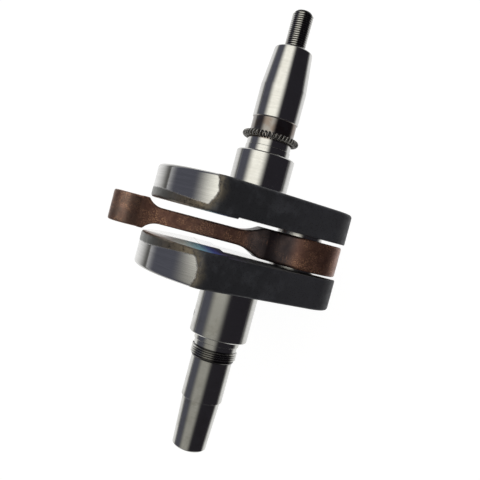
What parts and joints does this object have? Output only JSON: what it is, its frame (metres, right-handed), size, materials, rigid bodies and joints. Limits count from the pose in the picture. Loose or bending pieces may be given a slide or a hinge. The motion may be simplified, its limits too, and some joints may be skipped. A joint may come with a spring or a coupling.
{
  "type": "built-up crankshaft with connecting rod",
  "caption": "Built-up single-throw crankshaft with counterweight webs, roller big end, forged connecting rod, tapered threaded nose and drive stub.",
  "frame": {"origin": "on the main shaft axis, in the connecting rod's middle plane", "axes": "+Y along the main shaft towards the flywheel nose, +Z along the cylinder, away from the crankpin at bottom dead centre, +X completes the right-handed set"},
  "size_m": [0.0852, 0.2129, 0.1115],
  "materials": {
    "forged_and_ground_steel": "bright ground shafts and turned rims, dark forged scale on the webs",
    "ground_pin_steel": "ground bright",
    "spring_wire": "dark oil-tempered wire",
    "coppered_forging": "dull copper-plated forging, darkened by heat",
    "cage_steel": "satin silver-plated",
    "roller_steel": "polished"
  },
  "bodies": {
    "crankshaft": {"flywheel_side_crank_half": "forged_and_ground_steel", "drive_side_crank_half": "forged_and_ground_steel", "crankpin": "ground_pin_steel", "garter_spring_ring": "spring_wire"},
    "rod": {"connecting_rod": "coppered_forging"},
    "cage": {"big_end_cage": "cage_steel"},
    "roller_01": {"big_end_roller_01": "roller_steel"},
    "roller_02": {"big_end_roller_02": "roller_steel"},
    "roller_03": {"big_end_roller_03": "roller_steel"},
    "roller_04": {"big_end_roller_04": "roller_steel"},
    "roller_05": {"big_end_roller_05": "roller_steel"},
    "roller_06": {"big_end_roller_06": "roller_steel"},
    "roller_07": {"big_end_roller_07": "roller_steel"},
    "roller_08": {"big_end_roller_08": "roller_steel"},
    "roller_09": {"big_end_roller_09": "roller_steel"},
    "roller_10": {"big_end_roller_10": "roller_steel"},
    "roller_11": {"big_end_roller_11": "roller_steel"},
    "roller_12": {"big_end_roller_12": "roller_steel"},
    "roller_13": {"big_end_roller_13": "roller_steel"},
    "roller_14": {"big_end_roller_14": "roller_steel"},
    "roller_15": {"big_end_roller_15": "roller_steel"}
  },
  "joints": [
    {"name": "rod_swing", "type": "hinge", "parent": "crankshaft", "child": "rod", "pos_m": [0, 0, -0.026], "axis": [0, 1, 0], "continuous": true},
    {"name": "cage_spin", "type": "hinge", "parent": "crankshaft", "child": "cage", "pos_m": [0, 0, -0.026], "axis": [0, 1, 0], "continuous": true},
    {"name": "roller_01_spin", "type": "hinge", "parent": "cage", "child": "roller_01", "pos_m": [0, 0, -0.01325], "axis": [0, 1, 0], "continuous": true},
    {"name": "roller_02_spin", "type": "hinge", "parent": "cage", "child": "roller_02", "pos_m": [0.00519, 0, -0.01435], "axis": [0, 1, 0], "continuous": true},
    {"name": "roller_03_spin", "type": "hinge", "parent": "cage", "child": "roller_03", "pos_m": [0.00948, 0, -0.01747], "axis": [0, 1, 0], "continuous": true},
    {"name": "roller_04_spin", "type": "hinge", "parent": "cage", "child": "roller_04", "pos_m": [0.01213, 0, -0.02206], "axis": [0, 1, 0], "continuous": true},
    {"name": "roller_05_spin", "type": "hinge", "parent": "cage", "child": "roller_05", "pos_m": [0.01268, 0, -0.02733], "axis": [0, 1, 0], "continuous": true},
    {"name": "roller_06_spin", "type": "hinge", "parent": "cage", "child": "roller_06", "pos_m": [0.01104, 0, -0.03238], "axis": [0, 1, 0], "continuous": true},
    {"name": "roller_07_spin", "type": "hinge", "parent": "cage", "child": "roller_07", "pos_m": [0.00749, 0, -0.03632], "axis": [0, 1, 0], "continuous": true},
    {"name": "roller_08_spin", "type": "hinge", "parent": "cage", "child": "roller_08", "pos_m": [0.00265, 0, -0.03847], "axis": [0, 1, 0], "continuous": true},
    {"name": "roller_09_spin", "type": "hinge", "parent": "cage", "child": "roller_09", "pos_m": [-0.00265, 0, -0.03847], "axis": [0, 1, 0], "continuous": true},
    {"name": "roller_10_spin", "type": "hinge", "parent": "cage", "child": "roller_10", "pos_m": [-0.00749, 0, -0.03632], "axis": [0, 1, 0], "continuous": true},
    {"name": "roller_11_spin", "type": "hinge", "parent": "cage", "child": "roller_11", "pos_m": [-0.01104, 0, -0.03238], "axis": [0, 1, 0], "continuous": true},
    {"name": "roller_12_spin", "type": "hinge", "parent": "cage", "child": "roller_12", "pos_m": [-0.01268, 0, -0.02733], "axis": [0, 1, 0], "continuous": true},
    {"name": "roller_13_spin", "type": "hinge", "parent": "cage", "child": "roller_13", "pos_m": [-0.01213, 0, -0.02206], "axis": [0, 1, 0], "continuous": true},
    {"name": "roller_14_spin", "type": "hinge", "parent": "cage", "child": "roller_14", "pos_m": [-0.00948, 0, -0.01747], "axis": [0, 1, 0], "continuous": true},
    {"name": "roller_15_spin", "type": "hinge", "parent": "cage", "child": "roller_15", "pos_m": [-0.00519, 0, -0.01435], "axis": [0, 1, 0], "continuous": true}
  ],
  "couplings": [
    {"joint": "cage_spin", "follows": "rod_swing", "ratio": 0.56863},
    {"joint": "roller_01_spin", "follows": "rod_swing", "ratio": 3.5742},
    {"joint": "roller_02_spin", "follows": "rod_swing", "ratio": 3.5742},
    {"joint": "roller_03_spin", "follows": "rod_swing", "ratio": 3.5742},
    {"joint": "roller_04_spin", "follows": "rod_swing", "ratio": 3.5742},
    {"joint": "roller_05_spin", "follows": "rod_swing", "ratio": 3.5742},
    {"joint": "roller_06_spin", "follows": "rod_swing", "ratio": 3.5742},
    {"joint": "roller_07_spin", "follows": "rod_swing", "ratio": 3.5742},
    {"joint": "roller_08_spin", "follows": "rod_swing", "ratio": 3.5742},
    {"joint": "roller_09_spin", "follows": "rod_swing", "ratio": 3.5742},
    {"joint": "roller_10_spin", "follows": "rod_swing", "ratio": 3.5742},
    {"joint": "roller_11_spin", "follows": "rod_swing", "ratio": 3.5742},
    {"joint": "roller_12_spin", "follows": "rod_swing", "ratio": 3.5742},
    {"joint": "roller_13_spin", "follows": "rod_swing", "ratio": 3.5742},
    {"joint": "roller_14_spin", "follows": "rod_swing", "ratio": 3.5742},
    {"joint": "roller_15_spin", "follows": "rod_swing", "ratio": 3.5742}
  ]
}
